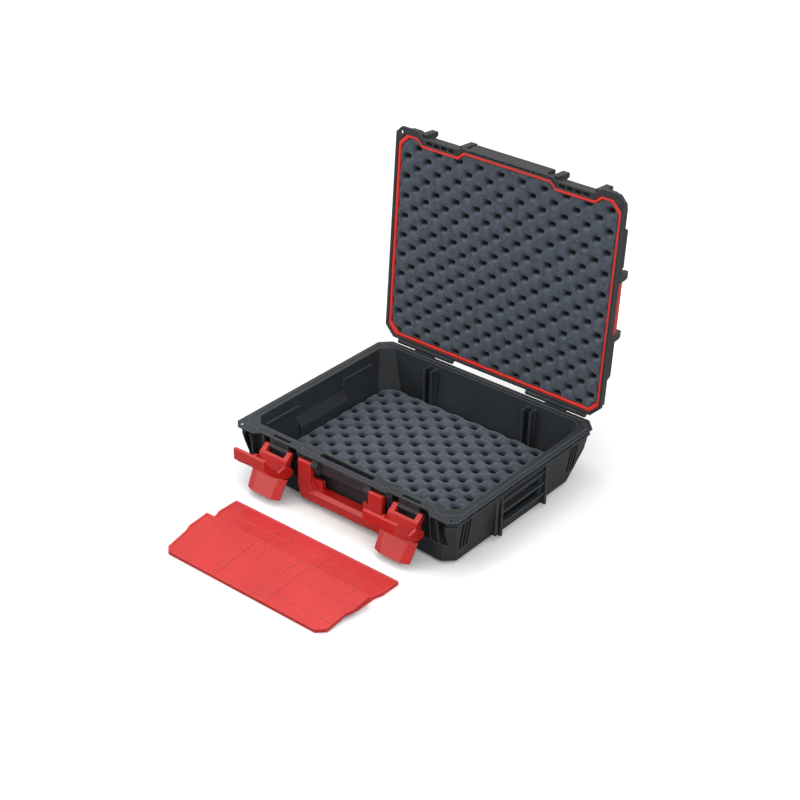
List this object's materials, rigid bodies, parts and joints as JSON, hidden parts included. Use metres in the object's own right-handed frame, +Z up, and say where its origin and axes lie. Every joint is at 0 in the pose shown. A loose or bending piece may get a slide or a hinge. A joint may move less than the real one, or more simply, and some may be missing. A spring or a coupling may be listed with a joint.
{
  "type": "tool case",
  "caption": "Hard plastic tool case standing open, with a hinged lid, red draw latches, swing handle, foam pads, seal and two loose dividers.",
  "frame": {"origin": "on the floor, under the centre of the base's rim", "axes": "+X to the case's right as seen from the front, +Y to the hinge side, +Z up"},
  "size_m": [0.415, 0.6264, 0.4426],
  "materials": {
    "shell_plastic": "fine moulded texture",
    "red_plastic": "satin moulded",
    "divider_plastic": "satin moulded",
    "seal_rubber": "soft matt",
    "foam": "open-cell egg-crate foam",
    "steel_pin": "drawn wire"
  },
  "bodies": {
    "base": {"base_shell": "shell_plastic", "base_foam": "foam", "hinge_pin_left": "steel_pin", "hinge_pin_right": "steel_pin", "handle_pin_left": "steel_pin", "handle_pin_right": "steel_pin", "lever_pin_left": "steel_pin", "lever_pin_right": "steel_pin"},
    "lid": {"lid_shell": "shell_plastic", "lid_seal": "seal_rubber", "lid_foam": "foam", "flap_pin_left_front": "steel_pin", "flap_pin_left_back": "steel_pin", "flap_pin_right_front": "steel_pin", "flap_pin_right_back": "steel_pin"},
    "handle": {"handle": "red_plastic"},
    "divider_rear": {"divider_rear": "divider_plastic"},
    "divider_front": {"divider_front": "divider_plastic"},
    "latch_lever_left": {"latch_lever_left": "red_plastic", "hook_pin_left": "steel_pin"},
    "latch_hook_left": {"latch_hook_left": "red_plastic"},
    "stack_flap_left": {"stack_flap_left": "red_plastic"},
    "latch_lever_right": {"latch_lever_right": "red_plastic", "hook_pin_right": "steel_pin"},
    "latch_hook_right": {"latch_hook_right": "red_plastic"},
    "stack_flap_right": {"stack_flap_right": "red_plastic"}
  },
  "joints": [
    {"name": "lid_hinge", "type": "hinge", "parent": "base", "child": "lid", "pos_m": [0, 0.17943, 0.08839], "axis": [1, 0, 0], "range_deg": [0, 94.1]},
    {"name": "handle_swing", "type": "hinge", "parent": "base", "child": "handle", "pos_m": [0, -0.1696, 0.071], "axis": [-1, 0, 0], "range_deg": [0, 95]},
    {"name": "lever_left", "type": "hinge", "parent": "base", "child": "latch_lever_left", "pos_m": [-0.1225, -0.1665, 0.069], "axis": [1, 0, 0], "range_deg": [-3, 30]},
    {"name": "hook_left", "type": "hinge", "parent": "latch_lever_left", "child": "latch_hook_left", "pos_m": [-0.1225, -0.175, 0.044], "axis": [-1, 0, 0], "range_deg": [-7.9, 78.1]},
    {"name": "flap_left", "type": "hinge", "parent": "lid", "child": "stack_flap_left", "pos_m": [-0.2, 0.21253, 0.2619], "axis": [0, -0.0715, -0.9974], "range_deg": [0, 100]},
    {"name": "lever_right", "type": "hinge", "parent": "base", "child": "latch_lever_right", "pos_m": [0.1225, -0.1665, 0.069], "axis": [1, 0, 0], "range_deg": [-3, 30]},
    {"name": "hook_right", "type": "hinge", "parent": "latch_lever_right", "child": "latch_hook_right", "pos_m": [0.1225, -0.175, 0.044], "axis": [-1, 0, 0], "range_deg": [-7.9, 78.1]},
    {"name": "flap_right", "type": "hinge", "parent": "lid", "child": "stack_flap_right", "pos_m": [0.2, 0.21253, 0.2619], "axis": [0, 0.0715, 0.9974], "range_deg": [0, 100]},
    {"name": "lift_rear_divider", "type": "slide", "parent": "base", "child": "divider_rear", "axis": [0, 0, 1], "range_m": [0, 0.3]},
    {"name": "lift_front_divider", "type": "slide", "parent": "divider_rear", "child": "divider_front", "axis": [0, 0, 1], "range_m": [0, 0.3]}
  ],
  "couplings": [
    {"joint": "hook_left", "follows": "lever_left", "ratio": 2.6},
    {"joint": "hook_right", "follows": "lever_right", "ratio": 2.6}
  ]
}
